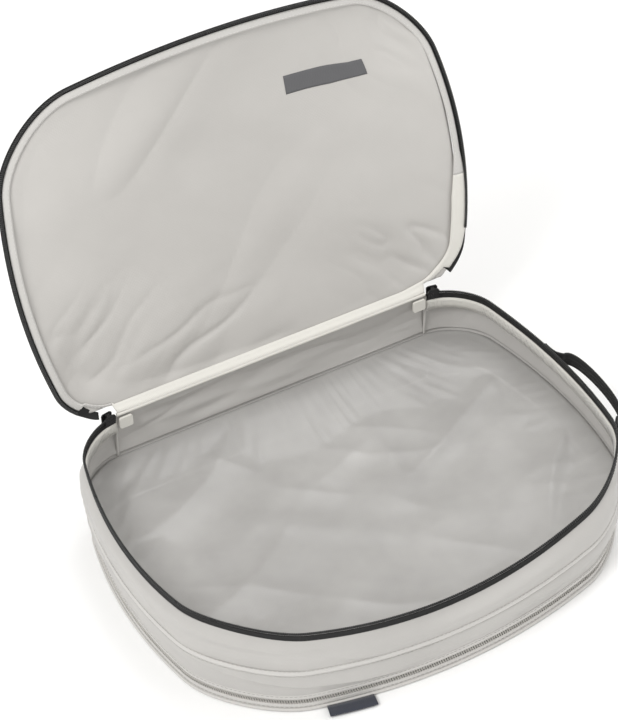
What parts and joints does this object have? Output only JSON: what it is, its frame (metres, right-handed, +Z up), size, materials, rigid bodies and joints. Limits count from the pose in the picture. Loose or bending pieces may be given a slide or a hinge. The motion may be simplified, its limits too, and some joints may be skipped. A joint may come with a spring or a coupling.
{
  "type": "packing cube",
  "caption": "Soft two-compartment packing cube of translucent nylon with an open zip-round lid, a see-through divider, a side loop handle and a zip-round base flap.",
  "frame": {"origin": "centre of the footprint, on the table under the base panel", "axes": "+X along the long hinge edge towards the handle, -Y to the front, +Z up"},
  "size_m": [0.3806, 0.3422, 0.3347],
  "materials": {
    "shell_nylon": "coated translucent ripstop nylon, satin",
    "divider_nylon": "thin milky translucent nylon",
    "seam_binding": "white binding tape and overlocked seam",
    "zipper_tape": "black woven zipper tape",
    "zipper_coil": "black nylon coil",
    "pale_zipper": "tone-on-tone coil zipper",
    "slider_metal": "black painted zinc",
    "pull_cord": "black moulded pull",
    "pale_slider": "grey painted zinc",
    "webbing": "black woven polyamide webbing",
    "label_cloth": "dark woven label, blank",
    "print_grey": "flat dark grey print"
  },
  "bodies": {
    "cube_body": {"upper_wall": "shell_nylon", "upper_back_wall": "shell_nylon", "lower_wall": "shell_nylon", "lower_back_wall": "shell_nylon", "divider_panel": "divider_nylon", "divider_seam": "shell_nylon", "back_corner_seams": "seam_binding", "hinge_binding": "seam_binding", "base_hinge_binding": "seam_binding", "rim_zipper_tape": "zipper_tape", "rim_zipper_coil": "zipper_coil", "rim_seam_allowance": "seam_binding", "zipper_end_tabs": "seam_binding", "handle_bartacks": "webbing", "base_upper_tape": "pale_zipper", "base_upper_coil": "pale_zipper"},
    "lid": {"lid_panel": "shell_nylon", "lid_zipper_tape": "zipper_tape", "lid_zipper_coil": "zipper_coil", "lid_seam_binding": "seam_binding", "lid_print_patch": "print_grey"},
    "left_slider": {"left_slider": "slider_metal"},
    "left_pull": {"left_pull": "pull_cord"},
    "right_slider": {"right_slider": "slider_metal"},
    "right_pull": {"right_pull": "pull_cord"},
    "handle": {"handle_webbing": "webbing"},
    "base_flap": {"base_panel": "shell_nylon", "base_piping": "seam_binding", "base_lower_tape": "pale_zipper", "base_lower_coil": "pale_zipper", "side_label": "label_cloth"},
    "base_slider": {"base_slider": "pale_slider"},
    "base_pull": {"base_pull": "pale_slider"}
  },
  "joints": [
    {"name": "lid_hinge", "type": "hinge", "parent": "cube_body", "child": "lid", "pos_m": [0, 0.1325, 0.084], "axis": [-1, 0, 0], "range_deg": [-109, 71]},
    {"name": "base_flap_hinge", "type": "hinge", "parent": "cube_body", "child": "base_flap", "pos_m": [0, 0.1325, 0.002], "axis": [1, 0, 0], "range_deg": [0, 110]},
    {"name": "handle_swing", "type": "hinge", "parent": "cube_body", "child": "handle", "pos_m": [0.18438, -0.00759, 0.067], "axis": [0.0698, 0.9976, 0], "range_deg": [-50, 50]},
    {"name": "left_slider_run", "type": "hinge", "parent": "cube_body", "child": "left_slider", "pos_m": [-0.12795, 0.09063, 0.084], "axis": [0, 0, 1], "range_deg": [0, 19]},
    {"name": "left_pull_swing", "type": "hinge", "parent": "left_slider", "child": "left_pull", "pos_m": [-0.13658, 0.13584, 0.0836], "axis": [-0.1874, 0.9823, 0], "range_deg": [-45, 80]},
    {"name": "right_slider_run", "type": "hinge", "parent": "cube_body", "child": "right_slider", "pos_m": [0.12795, 0.09063, 0.084], "axis": [0, 0, -1], "range_deg": [0, 19]},
    {"name": "right_pull_swing", "type": "hinge", "parent": "right_slider", "child": "right_pull", "pos_m": [0.13658, 0.13584, 0.0836], "axis": [-0.1874, -0.9823, 0], "range_deg": [-45, 80]},
    {"name": "base_slider_run", "type": "hinge", "parent": "cube_body", "child": "base_slider", "pos_m": [0.12795, 0.09063, 0.0093], "axis": [0, 0, -1], "range_deg": [0, 19]},
    {"name": "base_pull_swing", "type": "hinge", "parent": "base_slider", "child": "base_pull", "pos_m": [0.1365, 0.13544, 0.0092], "axis": [-0.1874, -0.9823, 0], "range_deg": [-80, 80]}
  ]
}
